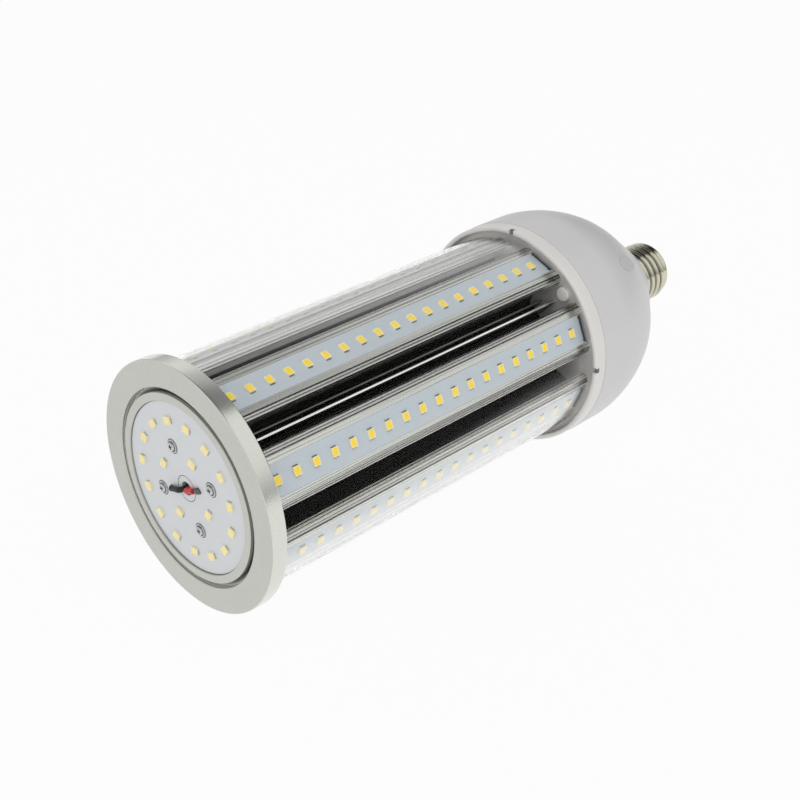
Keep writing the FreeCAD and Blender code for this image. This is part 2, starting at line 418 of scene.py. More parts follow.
def dust_specks(nodes, place, fineness):
    """Sparse small specks of dust."""
    cells = nodes.add("TexVoronoi", {"Vector": place, "Scale": fineness, "Randomness": 1.0})
    dots = nodes.add("MapRange", {
        "Value": cells.outputs["Distance"], "From Min": 0.05, "From Max": 0.12,
        "To Min": 1.0, "To Max": 0.0,
    })
    return (dots.outputs["Result"],)


TEXTURES = {fine_grain: ("Height", "Mottle"), drawn_lines: ("Line", "Band"), dust_specks: ("Mask",)}


def texture_group(texture):
    """Shader group of a texture, made once, from a place and a fineness."""
    group = bpy.data.node_groups.get(texture.__name__)
    if group is None:
        group = bpy.data.node_groups.new(texture.__name__, "ShaderNodeTree")
        sockets = [("Vector", "INPUT", "Vector"), ("Fineness", "INPUT", "Float")]
        sockets += [(label, "OUTPUT", "Float") for label in TEXTURES[texture]]
        for label, way, kind in sockets:
            group.interface.new_socket(name=label, in_out=way, socket_type="NodeSocket" + kind)
        enter = group.nodes.new("NodeGroupInput").outputs
        leave = group.nodes.new("NodeGroupOutput").inputs
        values = texture(Nodes(group), enter["Vector"], enter["Fineness"])
        for label, value in zip(TEXTURES[texture], values):
            group.links.new(value, leave[label])
    return group


class Finish(Nodes):
    """Material with a Principled shader, in the object's coordinates."""

    def __init__(self, name, colour=(1.0, 1.0, 1.0)):
        self.material = bpy.data.materials.new(name)
        self.material.use_nodes = True
        super().__init__(self.material.node_tree)
        self.colour = colour
        self.shader = self.tree.nodes["Principled BSDF"]
        self.place = self.add("TexCoord").outputs["Object"]

    def feed(self, label, value):
        """Sets or links an input of the shader."""
        self.put(self.shader.inputs[label], value)

    def tone(self, factor):
        """The finish's colour made darker or lighter."""
        return shade_of(self.colour, factor)

    def varied(self, share, low, high):
        """The finish's colour between a darker and a lighter tone."""
        return self.blend(share, self.tone(low), self.tone(high))

    def lay(self, texture, fineness):
        """Values of a texture laid on the object."""
        inputs = {"Vector": self.place, "Fineness": fineness}
        return self.add("Group", inputs, node_tree=texture_group(texture)).outputs

    def bump(self, height, strength, distance=FINE_BUMP):
        """Feeds a height to the shader's normal."""
        made = self.add("Bump", {"Height": height, "Strength": strength, "Distance": distance})
        self.feed("Normal", made.outputs["Normal"])

    def axis_distance(self):
        """Distance of a shaded point from the lamp's axis."""
        flat = self.add("VectorMath", {0: self.place, 1: (0.0, 1.0, 1.0)}, operation="MULTIPLY")
        return self.add("VectorMath", {0: flat.outputs[0]}, operation="LENGTH").outputs["Value"]


def grained(name, colour, roughness, scale, contrast, bump, gloss, metallic=0.0, glow=0.0):
    """Finish with fine grain, made once: colour and gloss vary slowly, the normal finely."""
    if name in bpy.data.materials:
        return bpy.data.materials[name]
    look = Finish(name, colour)
    grain = look.lay(fine_grain, scale)
    both = look.varied(grain["Mottle"], 1 - contrast, 1 + contrast)
    look.feed("Base Color", both)
    look.feed("Roughness", look.spread(grain["Mottle"], roughness - gloss, roughness + gloss))
    look.feed("Metallic", metallic)
    # Painted glow: the emission makes an unlit part glow; the light chips use it
    if glow:
        look.feed("Emission Color", both)
        look.feed("Emission Strength", glow)
    look.bump(grain["Height"], bump)
    return look.material


# Finishes

def satin_aluminium():
    """Blasted aluminium of the end cap: turned smooth on its wall, whose colour is painted lighter
    as a highlight, with painted shade in its groove and a painted lighter outer groove wall.
    """
    size = sizes()
    look = Finish("blasted_aluminium", colours().satin)
    grain = look.lay(fine_grain, 2600.0)
    distance = look.axis_distance()
    along = look.axes(look.place)["X"]
    front = near_face("end_cap")
    ring = outer_radius("end_cap")
    wall = look.ease(distance, ring - 0.0005, ring - 0.0001)
    # Painted shade and light in the groove: the land's wall darker and the outer wall lighter, a
    # painted dark line 0.45 mm below the front face, and painted shade deeper than about 1 mm that
    # fades towards the outer wall
    deep = look.ease(along, front + 0.0002, front + 0.0009)
    outside_land = look.calc("GREATER_THAN", distance, size.land_radius - 0.0002)
    inside_ring = look.calc("LESS_THAN", distance, size.groove_radius + 0.0001)
    groove = look.times(deep, look.times(outside_land, inside_ring))
    over_groove = look.ease(distance, size.land_radius + 0.0002, size.groove_radius)
    painted_groove_wall_light = look.varied(over_groove, 0.62, 1.65)
    painted_edge_shade_line = look.line(along, front + 0.00045, 0.00012)
    shade = look.larger(painted_edge_shade_line, look.ease(along, front + 0.0010, front + 0.0014))
    inner_shade = look.times(shade, look.spread(over_groove, 1.0, 0.15))
    painted_groove_shade_tone = look.blend(inner_shade, painted_groove_wall_light, look.tone(0.12))
    speckle = look.varied(grain["Height"], 0.84, 1.16)
    # The turned outer wall is smoother, and its colour is painted lighter than the blasted face as
    # a painted highlight
    turned = look.varied(grain["Height"], 1.10, 1.36)
    look.feed("Base Color", look.blend(groove, look.blend(wall, speckle, turned), painted_groove_shade_tone))
    matt = look.spread(grain["Mottle"], 0.38, 0.48)
    look.feed("Roughness", look.minus(matt, look.times(wall, 0.24)))
    look.feed("Metallic", look.spread(groove, 1.0, 0.1))
    look.bump(grain["Height"], 0.20)
    return look.material


def strip_place(look):
    """Distances of a shaded point along the nearest strip's width and along its radius."""
    size = sizes()
    parts = look.axes(look.place)
    angle = look.calc("ARCTAN2", parts["Z"], parts["Y"])
    from_first = look.minus(angle, size.strip_phase)
    folded = look.calc("PINGPONG", from_first, math.pi / size.strip_count)
    distance = look.axis_distance()
    sideways = look.times(distance, look.calc("SINE", folded))
    outward = look.times(distance, look.calc("COSINE", folded))
    return sideways, outward


def fin_tip_highlight(look, sideways, outward):
    """1 along the middle of the long fins' tips, and less on the short fins beside them: painted
    highlight lines of unshaded metal amid the painted groove shade.
    """
    half = math.pi / sizes().strip_count
    short_fin_place = 0.0033
    fins_start = 0.020
    from_groove = look.minus(
        look.times(outward, math.sin(half)), look.times(sideways, math.cos(half))
    )
    long_fin = look.line(from_groove, 0.0, 0.00024)
    short_fin = look.times(look.line(from_groove, short_fin_place, 0.00016), 0.55)
    tips = look.larger(long_fin, short_fin)
    return look.times(tips, look.ease(outward, fins_start, fins_start + 0.002))


def extruded_aluminium():
    """Extruded aluminium: bright and lined on seats, with painted highlight lines on the fin tips,
    painted crease lines and a painted shaded chamfer on the rails, near-black painted shade deep in
    the grooves and a painted lighter band on the upper stems.
    """
    seat_root = 0.0350
    stem_root = 0.0326
    slope_start = 0.0085
    slope_end = 0.01005
    look = Finish("drawn_aluminium", colours().extruded)
    drawn = look.lay(drawn_lines, 1400.0)
    sideways, outward = strip_place(look)
    # Metal left unshaded: the seats and the painted highlight lines on the fin tips
    seat = look.ease(outward, seat_root, seat_root + 0.0004)
    unshaded_metal = look.larger(seat, fin_tip_highlight(look, sideways, outward))
    bright = look.varied(look.ease(drawn["Line"], 0.34, 0.52), 0.60, 1.20)
    # Painted crease shade: dark lines along the bends of the rails' profile
    bends = (
        (sideways, 0.00855, 0.00013), (sideways, 0.00945, 0.00009),
        (outward, 0.0381, 0.00008), (outward, 0.0369, 0.00015),
    )
    painted_crease_line = 0.0
    for value, middle, half_width in bends:
        painted_crease_line = look.larger(painted_crease_line, look.line(value, middle, half_width))
    lined = look.blend(painted_crease_line, bright, look.tone(0.16))
    # Painted shade on the rails' chamfer, between the two bends
    slope = look.minus(
        look.ease(sideways, slope_start, slope_start + 0.0002),
        look.ease(sideways, slope_end - 0.0001, slope_end),
    )
    shaded_slope = look.times(look.times(slope, seat), 0.50)
    seat_tone = look.blend(shaded_slope, lined, look.tone(0.12))
    # Painted shade: near-black deep in the grooves, with a painted lighter band on the upper stems
    painted_shade_and_solder_tone = look.varied(drawn["Band"], 0.008, 0.035)
    painted_stem_shade_and_light = look.blend(look.ease(outward, stem_root, stem_root + 0.0004), painted_shade_and_solder_tone, look.tone(1.25))
    look.feed("Base Color", look.blend(unshaded_metal, painted_stem_shade_and_light, seat_tone))
    look.feed("Roughness", look.spread(drawn["Line"], 0.16, 0.34))
    look.feed("Metallic", unshaded_metal)
    look.feed("Specular IOR Level", 0.05)
    look.bump(drawn["Line"], 0.08, 2 * FINE_BUMP)
    return look.material


def round_mask():
    """Solder mask of the round board, with a ring of print round the lead hole, a dark ring hugging
    each washer that is part print and part painted shadow, and a painted dark disc under each screw
    head as shade in the gap.
    """
    size = sizes()
    ink_and_shade = (0.05, 0.05, 0.055, 1.0)
    look = Finish("round_mask", colours().round_board)
    grain = look.lay(fine_grain, 2200.0)
    turned = look.add("Mapping", {"Vector": look.place, "Rotation": (-size.screw_phase, 0, 0)})
    parts = look.axes(turned.outputs[0])
    across = look.calc("ABSOLUTE", parts["Y"])
    upward = look.calc("ABSOLUTE", parts["Z"])
    longer = look.larger(across, upward)
    shorter = look.calc("MINIMUM", across, upward)

    def ring_mask(distance_along, radius, half_width):
        """1 on a ring about a point on the folded axis; a radius of 0 gives a filled disc."""
        along = look.minus(longer, distance_along)
        squared = look.calc("ADD", look.calc("POWER", along, 2.0), look.calc("POWER", shorter, 2.0))
        off = look.calc("ABSOLUTE", look.minus(look.calc("SQRT", squared), radius))
        return look.calc("LESS_THAN", off, half_width)

    # The hole's ring is print; the ring round each washer is part print and part painted shadow at
    # its edge; the disc under each screw head is painted shade seen in the gap round the head
    hole_ring = ring_mask(0.0, 0.0048, 0.00014)
    screw_ring_and_washer_shadow = ring_mask(size.screw_place, 0.00265, 0.00015)
    painted_screw_gap_shade = ring_mask(size.screw_place, 0.0, 0.00215)
    print_and_painted_shade = look.larger(hole_ring, look.larger(screw_ring_and_washer_shadow, painted_screw_gap_shade))
    look.feed("Base Color", look.blend(print_and_painted_shade, look.varied(grain["Mottle"], 0.97, 1.03), ink_and_shade))
    look.feed("Roughness", look.spread(grain["Mottle"], 0.30, 0.42))
    look.bump(grain["Height"], 0.05)
    return look.material


def moulded_plastic(name, colour, roughness):
    """Smooth moulded plastic with a faint texture."""
    return grained(name, colour, roughness, 3000.0, 0.012, 0.05, 0.04)


def collar_plastic(name, factor):
    """Moulded plastic of the collar in a darker or lighter tone: painted shade on the collar's
    inside and notches, painted light on its pegs.
    """
    return moulded_plastic(name, shade_of(colours().collar, factor), 0.34)


def black_sleeve():
    """Dull sleeve of a black lead."""
    return grained("black_sleeve", colours().black_sleeve, 0.60, 3000.0, 0.3, 0.15, 0.1)


def red_sleeve():
    """Sleeve of a red lead."""
    return grained("red_sleeve", colours().red_sleeve, 0.40, 3000.0, 0.12, 0.15, 0.1)


def nickel_plate():
    """Bright plating with faint rubbed marks, and painted shade in the thread's valleys."""
    look = Finish("nickel_plate", colours().nickel)
    grain = look.lay(fine_grain, 1800.0)
    specks = look.lay(dust_specks, 900.0)
    plain = look.varied(grain["Mottle"], 0.88, 1.08)
    crest = outer_radius("screw_shell")
    along = look.axes(look.place)["X"]
    on_thread = look.calc("LESS_THAN", along, far_face("screw_shell") - SHELL_CURL)
    # Painted shade: the thread's valleys darkened to 0.3 of the plating's colour
    valley = look.minus(on_thread, look.ease(look.axis_distance(), crest - 0.0010, crest - 0.0003))
    painted_valley_shade = look.blend(valley, plain, look.tone(0.30))
    look.feed("Base Color", look.blend(specks["Mask"], painted_valley_shade, look.tone(0.55)))
    look.feed("Roughness", look.spread(grain["Mottle"], 0.05, 0.13))
    look.feed("Metallic", 1.0)
    look.bump(grain["Height"], 0.04)
    return look.material


def clear_plastic():
    """Clear tube: polished see-through plastic that lets the lamps' light in."""
    look = Finish("clear_plastic")
    mottle = look.lay(fine_grain, 400.0)["Mottle"]
    look.feed("Base Color", look.blend(mottle, (0.97, 0.975, 0.98, 1.0), (0.99, 0.995, 1.0, 1.0)))
    look.feed("Transmission Weight", 1.0)
    look.feed("IOR", 1.10)
    look.feed("Roughness", 0.0)
    edge_on = look.add("LayerWeight", {"Blend": 0.5}).outputs["Facing"]
    look.feed("Coat Weight", look.ease(edge_on, 0.38, 0.60))
    look.feed("Coat IOR", 3.0)
    look.feed("Coat Roughness", 0.0)
    path = look.add("LightPath").outputs
    passing = look.larger(path["Is Shadow Ray"], path["Is Diffuse Ray"])
    look.cast(passing, look.shader, look.add("BsdfTransparent"), "Material Output")
    return look.material


# Pieces

def chip_mesh(pad_reach):
    """One light chip, foot at the origin, facing +Y: frame, phosphor window and two pads."""
    size = sizes()
    frame_long = 0.94 * size.chip_long
    frame_wide = 0.00024
    window_slope = 0.00008
    window_deep = 0.00012
    pad_tall = 0.3 * size.chip_tall
    bm = bmesh.new()
    body = bmesh.ops.create_cube(bm, size=1.0)["verts"]
    bmesh.ops.scale(bm, vec=(size.chip_short, size.chip_tall, frame_long), verts=body)
    shift(bm, (0, size.chip_tall / 2, 0), body)
    bm.faces.ensure_lookup_table()
    top = max(bm.faces, key=lambda face: face.calc_center_median().y)
    bmesh.ops.inset_region(bm, faces=[top], thickness=frame_wide, use_even_offset=True)
    bmesh.ops.inset_region(
        bm, faces=[top], thickness=window_slope, depth=-window_deep, use_even_offset=True
    )
    top.material_index = 1
    for side in (-1, 1):
        pad = bmesh.ops.create_cube(bm, size=1.0)["verts"]
        bmesh.ops.scale(bm, vec=(size.chip_short * 0.72, pad_tall, 2 * pad_reach), verts=pad)
        shift(bm, (0, pad_tall / 2, side * frame_long / 2), pad)
        for face in {face for vert in pad for face in vert.link_faces}:
            face.material_index = 2
    return bm


def chip_finishes(name, phosphor, glow, pad_shade):
    """Materials of a light chip, in the order of its parts."""
    tone = colours()
    pad = shade_of(tone.pad, pad_shade)
    return [
        grained("chip_frame", tone.chip_frame, 0.42, 3500.0, 0.05, 0.08, 0.05),
        grained(name, phosphor, 0.30, 5200.0, 0.06, 0.12, 0.08, glow=glow),
        grained(name + "_pad", pad, 0.35, 3000.0, 0.15, 0.2, 0.1, metallic=1.0),
    ]


def lump(bm, place, radii, seed):
    """Uneven bead of solder pressed on a flat."""
    bead = bmesh.ops.create_icosphere(bm, subdivisions=3, radius=1.0)["verts"]
    for vert in bead:
        vert.co *= 1 + 0.22 * noise.noise(vert.co * 1.3 + Vector((seed, 2.0 * seed, 0.5)))
    bmesh.ops.scale(bm, vec=radii, verts=bead)
    shift(bm, place, bead)


class CORN_OT_light_chips(bpy.types.Operator):
    """Light chips of the strips and of the round board"""

    bl_idname = "corn.light_chips"
    bl_label = "Light chips"

    def execute(self, context):
        size = sizes()
        # The strips' chips get a painted glow
        finishes = chip_finishes("chip_phosphor", colours().phosphor, glow=0.15, pad_shade=1.0)
        for index in range(size.strip_count):
            node = "strip_chips_%d" % (index + 1)
            bm = chip_mesh(pad_reach=0.00036)
            shift(bm, (near_face(node) + size.chip_short / 2, size.board_face, 0))
            copies_along(bm, size.chips_per_strip, size.chip_pitch)
            swing(bm, size.strip_phase + index * FULL_TURN / size.strip_count)
            add_piece("chip_row_%d" % (index + 1), bm, finishes, [node])
        outer = self.ring(size.ring_count, size.ring_place, size.ring_phase)
        inner = self.ring(size.inner_count, size.inner_place, size.inner_phase)
        inner_mesh = bpy.data.meshes.new("inner_chips")
        inner.to_mesh(inner_mesh)
        inner.free()
        outer.from_mesh(inner_mesh)
        bpy.data.meshes.remove(inner_mesh)
        # The round board's chips: a paler phosphor as painted sheen, pads painted lighter as
        # painted light, and a weaker painted glow
        pale = chip_finishes("phosphor_with_painted_sheen", colours().phosphor_with_painted_sheen, glow=0.05, pad_shade=2.4)
        add_piece("chip_rings", outer, pale, ["end_chips"])
        return {"FINISHED"}

    def ring(self, number, radius, phase):
        """Chips in a ring on the face of the round board."""
        bm = chip_mesh(pad_reach=0.00020)
        swing(bm, math.pi / 2, "Z")
        shift(bm, (near_face("end_board"), radius, 0))
        copies_around(bm, number, phase)
        return bm


class CORN_OT_boards(bpy.types.Operator):
    """Strip boards, round board and the soldered ends of the strips"""

    bl_idname = "corn.boards"
    bl_label = "Boards"

    def execute(self, context):
        size = sizes()
        strip_mask = grained("strip_mask", colours().board, 0.34, 2200.0, 0.025, 0.06, 0.05)
        for index in range(size.strip_count):
            dress("strip_board_%d" % (index + 1), strip_mask)
        dress("end_board", round_mask())
        inset = 0.0004
        wire_place = far_face("strip_board_1") - inset
        wire_radius = 0.00038
        wire_lift = 0.0002
        bead = (0.0007, 0.0005, 0.0008)
        bm = bmesh.new()
        for side in (-1, 1):
            lump(bm, (wire_place, size.board_face, side * size.strip_half * 0.8), bead, 3 + side)
        copies_around(bm, size.strip_count, size.strip_phase)
        painted_shade_and_solder_tone = shade_of(colours().solder, 0.4)
        dark = grained("strip_joint", painted_shade_and_solder_tone, 0.45, 2500.0, 0.2, 0.2, 0.1, metallic=0.4)
        add_piece("strip_joints", bm, [dark])
        # A near-black wire across each strip's end, partly standing in for the shadow in the gap
        # between the boards' ends and the collar
        bar = bmesh.new()
        bmesh.ops.create_cone(
            bar, cap_ends=True, segments=14, radius1=wire_radius, radius2=wire_radius,
            depth=1.76 * size.strip_half,
        )
        shift(bar, (wire_place, size.board_face + wire_lift, 0))
        copies_around(bar, size.strip_count, size.strip_phase)
        lacquer = grained("wire_lacquer_and_gap_shade", colours().lacquer, 0.30, 2000.0, 0.2, 0.1, 0.08)
        add_piece("strip_end_wires", bar, [lacquer])
        return {"FINISHED"}


class CORN_OT_heat_sink(bpy.types.Operator):
    """Finned heat sink"""

    bl_idname = "corn.heat_sink"
    bl_label = "Heat sink"

    def execute(self, context):
        dress("heat_sink", extruded_aluminium())
        return {"FINISHED"}


class CORN_OT_end_cap(bpy.types.Operator):
    """Satin end cap with its ring, groove and land"""

    bl_idname = "corn.end_cap"
    bl_label = "End cap"

    def execute(self, context):
        size = sizes()
        front = near_face("end_cap")
        rear = far_face("end_cap")
        ring = outer_radius("end_cap")
        recess = far_face("end_board")
        groove = front + size.groove_depth
        lead_way = 0.0030
        bm = lathe([
            (recess, lead_way), (recess, size.recess_radius),
            (front, size.recess_radius), (front, size.land_radius),
            (groove, size.land_radius), (groove, size.groove_radius),
            (front, size.groove_radius), (front, ring), (rear, ring), (rear, lead_way),
        ])
        soften(bm, front, size.recess_radius, 0.0003)
        soften(bm, front, size.land_radius, 0.0003)
        soften(bm, front, size.groove_radius, 0.0004)
        soften(bm, front, ring, size.ring_round, 4)
        soften(bm, rear, ring, size.ring_round)
        add_piece("end_cap_metal", bm, [satin_aluminium()], ["end_cap"])
        return {"FINISHED"}


class CORN_OT_board_screws(bpy.types.Operator):
    """Cross-recess screws and washers of the round board"""

    bl_idname = "corn.board_screws"
    bl_label = "Board screws"

    def execute(self, context):
        size = sizes()
        face = near_face("end_board")
        washer_tall = 0.0004
        top = face - washer_tall
        bore = 0.0020
        steel = grained("screw_steel", colours().steel, 0.30, 2400.0, 0.12, 0.1, 0.1, metallic=1.0)
        washer = lathe([
            (face, bore), (face, size.washer_radius),
            (top, size.washer_radius), (top, bore),
        ], 40)
        soften(washer, top, size.washer_radius, 0.00015, 2)
        shift(washer, (0, size.screw_place, 0))
        copies_around(washer, size.screw_count, size.screw_phase)
        add_piece("board_washers", washer, [steel])
        screw = self.head(size.screw_head, height=0.0010)
        swing(screw, -math.pi / 2, "Y")
        shift(screw, (face, size.screw_place, 0))
        copies_around(screw, size.screw_count, size.screw_phase)
        # Near-black painted shade for the cross recess of the screw heads
        cross = grained("screw_recess_painted_shade", (0.018, 0.018, 0.018), 0.5, 2400.0, 0.2, 0.1, 0.1)
        add_piece("board_screw_heads", screw, [steel, cross])
        return {"FINISHED"}

    def head(self, radius, height):
        """Pan head with a cross recess, standing on z = 0."""
        arm = radius * 0.54
        half = radius * 0.19
        bm = bmesh.new()
        bmesh.ops.create_circle(bm, cap_ends=False, segments=24, radius=radius * 0.62)
        rim_edges = bm.edges[:]
        quarter = [Vector((arm, half, 0)), Vector((half, half, 0)), Vector((half, arm, 0))]
        turns = [Matrix.Rotation(index * math.pi / 2, 3, "Z") for index in range(4)]
        cross = [bm.verts.new(spin @ corner) for spin in turns for corner in quarter]
        cross_edges = [bm.edges.new(pair) for pair in zip(cross, cross[1:] + cross[:1])]
        bmesh.ops.bridge_loops(bm, edges=rim_edges + cross_edges)
        recess = bm.faces.new(cross)
        sides = bmesh.ops.inset_region(
            bm, faces=[recess], thickness=radius * 0.03, depth=-height * 0.55
        )["faces"]
        # The recess's faces take the painted shade
        for painted_shade_face in [recess] + sides:
            painted_shade_face.material_index = 1
        shift(bm, (0, 0, height))
        edges = rim_edges
        for reach, level in ((0.84, 0.93), (0.96, 0.74), (1.0, 0.48), (1.0, 0.0)):
            made = bmesh.ops.extrude_edge_only(bm, edges=edges)["geom"]
            edges = [item for item in made if isinstance(item, bmesh.types.BMEdge)]
            for vert in verts_of(made):
                flat_place = Vector((vert.co.x, vert.co.y)).normalized() * radius * reach
                vert.co = (flat_place.x, flat_place.y, height * level)
        bmesh.ops.contextual_create(bm, geom=edges)
        face_out(bm)
        return bm


class CORN_OT_leads(bpy.types.Operator):
    """Black and red leads, soldered to the round board"""

    bl_idname = "corn.leads"
    bl_label = "Leads"

    def execute(self, context):
        self.wire("black_lead", BLACK_LEAD_TURN, 0.0086, 0.0012, black_sleeve(), "black_wire")
        self.wire("red_lead", RED_LEAD_TURN, 0.0052, 0.0010, red_sleeve(), "red_wire")
        solder = grained(
            "solder_joint", colours().solder, 0.34, 1800.0, 0.25, 0.35, 0.12, metallic=0.9
        )
        bm = bmesh.new()
        joint = near_face("end_board") - 0.0003
        for angle, reach, radii, seed in (
            (BLACK_LEAD_TURN, 0.0092, (0.0009, 0.0011, 0.0011), 1.0),
            (RED_LEAD_TURN, 0.0070, (0.0012, 0.0016, 0.0013), 2.0),
        ):
            lump(bm, Matrix.Rotation(angle, 3, "X") @ Vector((joint, reach, 0)), radii, seed)
        add_piece("lead_solder", bm, [solder])
        return {"FINISHED"}

    def wire(self, node, angle, reach, hump, material, slot):
        """Sleeved lead up through the hub and over the board to its pad."""
        size = sizes()
        name = node + "_wire"
        face = near_face("end_board")
        over = face - size.lead_radius
        offset = 0.0012
        hub_inlet = -0.150
        route = [
            (far_face(node), offset), (hub_inlet, offset),
            (face + 0.006, offset), (face + 0.001, offset),
            (over - hump * 0.6, offset + 0.0006), (over - hump * 0.5, 0.45 * reach),
            (over, 0.75 * reach), (over, reach),
        ]
        curve = bpy.data.curves.new(name, "CURVE")
        curve.dimensions = "3D"
        curve.bevel_depth = size.lead_radius
        curve.bevel_resolution = 5
        curve.use_fill_caps = True
        spline = curve.splines.new("NURBS")
        spline.points.add(len(route) - 1)
        for point, (x, y) in zip(spline.points, route):
            point.co = (x, y, 0, 1)
        spline.order_u = 3
        spline.use_endpoint_u = True
        line = bpy.data.objects.new(name + "_line", curve)
        tube = bpy.data.meshes.new_from_object(line)
        bm = bmesh.new()
        bm.from_mesh(tube)
        bpy.data.objects.remove(line)
        bpy.data.meshes.remove(tube)
        bmesh.ops.remove_doubles(bm, verts=bm.verts, dist=MERGE_DISTANCE)
        swing(bm, angle)
        add_piece(name, bm, [material], [node])


class CORN_OT_tube(bpy.types.Operator):
    """Clear tube round the strips"""

    bl_idname = "corn.tube"
    bl_label = "Clear tube"

    def execute(self, context):
        radius = outer_radius("clear_tube")
        bore = radius - sizes().tube_wall
        front = near_face("clear_tube")
        rear = far_face("clear_tube")
        bm = lathe([(front, bore), (front, radius), (rear, radius), (rear, bore)], 192)
        add_piece("tube_wall", bm, [clear_plastic()], ["clear_tube"])
        return {"FINISHED"}


class CORN_OT_collar(bpy.types.Operator):
    """Collar with its notched rim and its pegs"""

    bl_idname = "corn.collar"
    bl_label = "Collar"

    def execute(self, context):
        size = sizes()
        front = near_face("collar")
        seam = far_face("collar")
        rim = outer_radius("collar")
        ledge = front + size.notch_depth
        floor_hole = 0.009
        sharp_angle = 0.5
        margin = 0.0001
        steps = 144
        step = FULL_TURN / steps
        notch_phase = size.strip_phase + 1.5 * FULL_TURN / size.strip_count
        bm = lathe([
            (size.floor_place, floor_hole), (size.floor_place, size.rim_bore),
            (ledge, size.rim_bore), (ledge, rim), (seam, rim), (seam, floor_hole),
        ], steps)
        swing(bm, notch_phase - step / 2)
        raised = [
            face for face in bm.faces
            if self.lies_at(face, ledge) and not self.in_notch(face, notch_phase, step)
        ]
        made = bmesh.ops.extrude_face_region(bm, geom=raised)["geom"]
        shift(bm, (front - ledge, 0, 0), verts_of(made))
        bmesh.ops.delete(bm, geom=raised, context="FACES_ONLY")
        face_out(bm)
        rim_edges = [
            edge for edge in bm.edges
            if self.lies_at(edge, front) and edge.is_manifold
            and edge.calc_face_angle() > sharp_angle
        ]
        round_edges(bm, rim_edges, 0.0008, 4)
        soften(bm, seam, rim, 0.00025, 2)
        # Painted shade: the rim's inner wall and the floor take a darker copy of the plastic, the
        # notches a much darker one
        for face in bm.faces:
            middle = face.calc_center_median()
            reach = math.hypot(middle.y, middle.z)
            below_round = front + 0.0010 < middle.x < ledge + margin
            if reach < size.rim_bore + margin and middle.x < size.floor_place + margin:
                face.material_index = 1
            elif below_round and self.in_notch(face, notch_phase, 1.3 * step):
                face.material_index = 2
        finishes = [
            collar_plastic("collar_outside", 1.0), collar_plastic("collar_inside_painted_shade", 0.85),
            collar_plastic("collar_notch_painted_shade", 0.45),
        ]
        add_piece("collar_rim", bm, finishes, ["collar"])
        self.pegs()
        return {"FINISHED"}

    def lies_at(self, item, x):
        """True for a face or an edge that lies across the lamp at a place."""
        return all(abs(vert.co.x - x) < MERGE_DISTANCE for vert in item.verts)

    def in_notch(self, face, phase, step):
        """True for a rim face that one of the notches leaves low."""
        middle = face.calc_center_median()
        angle = math.atan2(middle.z, middle.y) - phase
        between = FULL_TURN / NOTCH_COUNT
        return abs((angle + between / 2) % between - between / 2) < step / 2

    def pegs(self):
        """Round pegs on the collar's floor, in the grooves between the strips, in a lighter tone of
        the collar's plastic as painted light.
        """
        size = sizes()
        face = -size.peg_height
        peg = lathe([(0, 0), (0, size.peg_radius), (face, size.peg_radius), (face, 0)], 40, False)
        soften(peg, face, size.peg_radius, 0.0005)
        shift(peg, (size.floor_place, size.peg_place, 0))
        copies_around(peg, NOTCH_COUNT, size.strip_phase + 0.5 * FULL_TURN / size.strip_count)
        # Painted light: the pegs' plastic is 1.28 times lighter than the collar's
        add_piece("collar_pegs", peg, [collar_plastic("peg_plastic_painted_light", 1.28)])


class CORN_OT_housing(bpy.types.Operator):
    """Driver dome with its cone and neck"""

    bl_idname = "corn.housing"
    bl_label = "Driver dome"

    def execute(self, context):
        size = sizes()
        seam = near_face("driver_housing")
        neck = far_face("driver_housing")
        radius = outer_radius("driver_housing")
        half_turn = math.atan(size.cone_slope) / 2
        reach = radius * math.tan(half_turn)
        corner = size.shoulder_place + reach
        cone_end = radius - size.cone_slope * (size.neck_step - corner)
        inner = radius - size.dome_wall
        inner_corner = corner - size.dome_wall * math.tan(half_turn)
        neck_wall = 0.006
        inner_end = neck - neck_wall
        bm = lathe([
            (seam, inner), (seam, radius), (corner, radius),
            (size.neck_step, cone_end), (size.neck_step, size.lip_radius),
            (neck, size.lip_radius), (neck, size.neck_bore), (inner_end, size.neck_bore),
            (inner_end, inner - size.cone_slope * (inner_end - inner_corner)),
            (inner_corner, inner),
        ], 180)
        soften(bm, corner, radius, reach, 18)
        soften(bm, inner_corner, inner, inner * math.tan(half_turn), 12)
        soften(bm, seam, radius, 0.0003, 2)
        soften(bm, size.neck_step, cone_end, 0.0009, 4)
        soften(bm, neck, size.lip_radius, 0.0008, 4)
        skin = moulded_plastic("dome_plastic", colours().plastic, 0.36)
        add_piece("dome_skin", bm, [skin], ["driver_housing"])
        self.mould_mark(radius)
        return {"FINISHED"}

    def mould_mark(self, radius):
        """Thin oval mark of the mould on the dome's round shoulder."""
        half_width = 0.0034
        stretch = 2.1
        down_shoulder = math.radians(21.5)
        towards_side = math.radians(45)
        raised = 0.00012
        sunk = 0.0004
        bm = bmesh.new()
        bmesh.ops.create_circle(bm, cap_ends=True, segments=48, radius=half_width)
        disc = bm.faces[:]
        for ring_width in (0.0009, 0.0009, 0.0008):
            bmesh.ops.inset_region(bm, faces=disc, thickness=ring_width)
        bmesh.ops.scale(bm, vec=(stretch, 1.0, 1.0), verts=bm.verts)
        shift(bm, (0, 0, radius))
        swing(bm, down_shoulder, "Y")
        swing(bm, towards_side)
        top = set(verts_of(bmesh.ops.extrude_face_region(bm, geom=bm.faces[:])["geom"]))
        for vert in bm.verts:
            vert.co = vert.co.normalized() * (radius + (raised if vert in top else -sunk))
        face_out(bm)
        shift(bm, (sizes().shoulder_place, 0, 0))
        tone = shade_of(colours().plastic, 0.93)
        mark = grained("mould_mark", tone, 0.30, 3000.0, 0.02, 0.05, 0.04)
        add_piece("mould_mark", bm, [mark])


